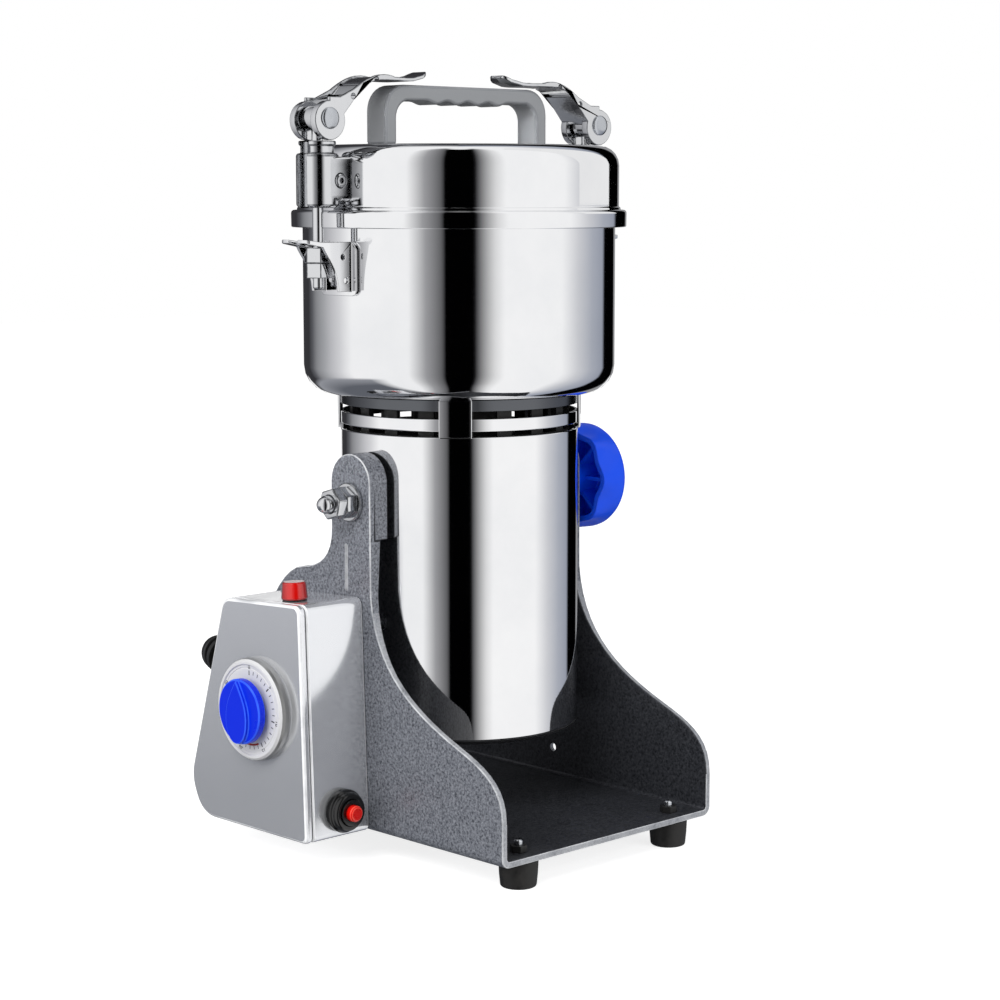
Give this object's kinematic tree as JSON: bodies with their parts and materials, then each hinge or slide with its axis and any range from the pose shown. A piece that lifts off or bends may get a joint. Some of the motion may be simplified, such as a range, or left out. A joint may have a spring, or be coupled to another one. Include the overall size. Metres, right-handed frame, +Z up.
{
  "type": "electric grain mill",
  "caption": "Swing-type electric grain mill: polished grinding bowl with clamped lid and handle on a motor housing that tilts between the cheeks of a bent steel base with a timer box.",
  "frame": {"origin": "on the table under the vertical axis of the mill", "axes": "+Z up along the mill axis, X along the swing axis with the control box at -X, -Y towards the open front of the base"},
  "size_m": [0.2463, 0.2852, 0.3601],
  "materials": {
    "polished_steel": "mirror polished stainless steel",
    "hammertone_paint": "dark grey hammertone paint",
    "silver_paint": "satin silver paint",
    "zinc_steel": "zinc plated",
    "black_rubber": "matte",
    "black_plastic": "satin",
    "black_paint": "satin",
    "cord_pvc": "smooth flexible sheath",
    "grey_plastic": "satin",
    "blue_plastic": "gloss",
    "red_plastic": "gloss",
    "red_lens": "gloss, lit from inside",
    "dial_metal": "satin",
    "cream_plastic": "satin",
    "silicone": "translucent white",
    "cast_aluminium": "as cast",
    "core_iron": "stacked sheets",
    "copper_wire": "varnished winding",
    "commutator_copper": "turned",
    "plug_brass": "polished",
    "blade_steel": "ground"
  },
  "bodies": {
    "base": {"base_frame": "hammertone_paint", "rubber_feet": "black_rubber", "foot_screws": "zinc_steel", "foot_nuts": "zinc_steel", "control_box_body": "silver_paint", "control_box_cover": "silver_paint", "box_screws": "zinc_steel", "timer_body": "cream_plastic", "timer_bezel": "dial_metal", "breaker_body": "black_plastic", "breaker_nut": "black_plastic", "lamp_base": "zinc_steel", "lamp_lens": "red_lens", "strain_relief": "black_rubber", "mains_cord": "cord_pvc", "cord_coil": "cord_pvc", "cord_tie": "black_plastic", "plug_body": "cord_pvc", "plug_pins": "plug_brass"},
    "head": {"motor_housing": "polished_steel", "bottom_cap": "black_paint", "stator_core": "core_iron", "field_coils": "copper_wire", "lower_end_shield": "cast_aluminium", "upper_end_shield": "cast_aluminium", "bearings": "zinc_steel", "brush_holders": "plug_brass", "vent_collar": "polished_steel", "vent_band": "polished_steel", "bowl": "polished_steel", "shaft_seal": "black_rubber", "catch_brackets": "polished_steel", "pivot_stud": "zinc_steel", "pivot_nuts": "zinc_steel", "lid": "polished_steel", "lid_gasket": "silicone", "handle": "grey_plastic", "handle_screws": "zinc_steel", "latch_block_left": "polished_steel", "latch_block_right": "polished_steel", "block_screws": "zinc_steel"},
    "rotor": {"rotor_shaft": "blade_steel", "armature": "core_iron", "commutator": "commutator_copper", "fan": "black_plastic", "blade_spacers": "blade_steel", "blades": "blade_steel", "blade_nut": "zinc_steel"},
    "lock_knob": {"lock_knob": "blue_plastic", "knob_stud": "zinc_steel"},
    "timer_knob": {"timer_knob": "blue_plastic", "timer_shaft": "zinc_steel"},
    "breaker_button": {"breaker_button": "red_plastic"},
    "latch_pin_left": {"latch_pin_left": "zinc_steel"},
    "latch_lever_left": {"latch_lever_left": "polished_steel"},
    "latch_rod_left": {"latch_rod_left": "zinc_steel"},
    "latch_pin_right": {"latch_pin_right": "zinc_steel"},
    "latch_lever_right": {"latch_lever_right": "polished_steel"},
    "latch_rod_right": {"latch_rod_right": "zinc_steel"}
  },
  "joints": [
    {"name": "head_tilt", "type": "hinge", "parent": "base", "child": "head", "pos_m": [0, 0, 0.165], "axis": [1, 0, 0], "range_deg": [-90, 100]},
    {"name": "rotor_spin", "type": "hinge", "parent": "head", "child": "rotor", "pos_m": [0, 0, 0.2], "axis": [0, 0, 1], "continuous": true},
    {"name": "lock_knob_turn", "type": "hinge", "parent": "head", "child": "lock_knob", "pos_m": [0.08, 0, 0.165], "axis": [1, 0, 0], "range_deg": [-180, 0]},
    {"name": "timer_turn", "type": "hinge", "parent": "base", "child": "timer_knob", "pos_m": [-0.115, 0.022, 0.0712], "axis": [1, 0, 0], "range_deg": [0, 300]},
    {"name": "breaker_press", "type": "slide", "parent": "base", "child": "breaker_button", "axis": [0, 1, 0], "range_m": [0, 0.0025], "stiffness_N_per_m": 300},
    {"name": "latch_sink_left", "type": "slide", "parent": "head", "child": "latch_pin_left", "axis": [0, 0, 1], "range_m": [-0.002, 0]},
    {"name": "latch_open_left", "type": "hinge", "parent": "latch_pin_left", "child": "latch_lever_left", "pos_m": [-0.086, 0, 0.3377], "axis": [0, -1, 0], "range_deg": [0, 150]},
    {"name": "latch_swing_left", "type": "hinge", "parent": "latch_pin_left", "child": "latch_rod_left", "pos_m": [-0.086, 0, 0.3377], "axis": [0, 1, 0], "range_deg": [0, 45]},
    {"name": "latch_sink_right", "type": "slide", "parent": "head", "child": "latch_pin_right", "axis": [0, 0, 1], "range_m": [-0.002, 0]},
    {"name": "latch_open_right", "type": "hinge", "parent": "latch_pin_right", "child": "latch_lever_right", "pos_m": [0.086, 0, 0.3377], "axis": [0, 1, 0], "range_deg": [0, 150]},
    {"name": "latch_swing_right", "type": "hinge", "parent": "latch_pin_right", "child": "latch_rod_right", "pos_m": [0.086, 0, 0.3377], "axis": [0, -1, 0], "range_deg": [0, 45]}
  ],
  "couplings": [
    {"joint": "latch_open_left", "follows": "latch_sink_left", "rad_per_m": -1309},
    {"joint": "latch_open_right", "follows": "latch_sink_right", "rad_per_m": -1309}
  ]
}
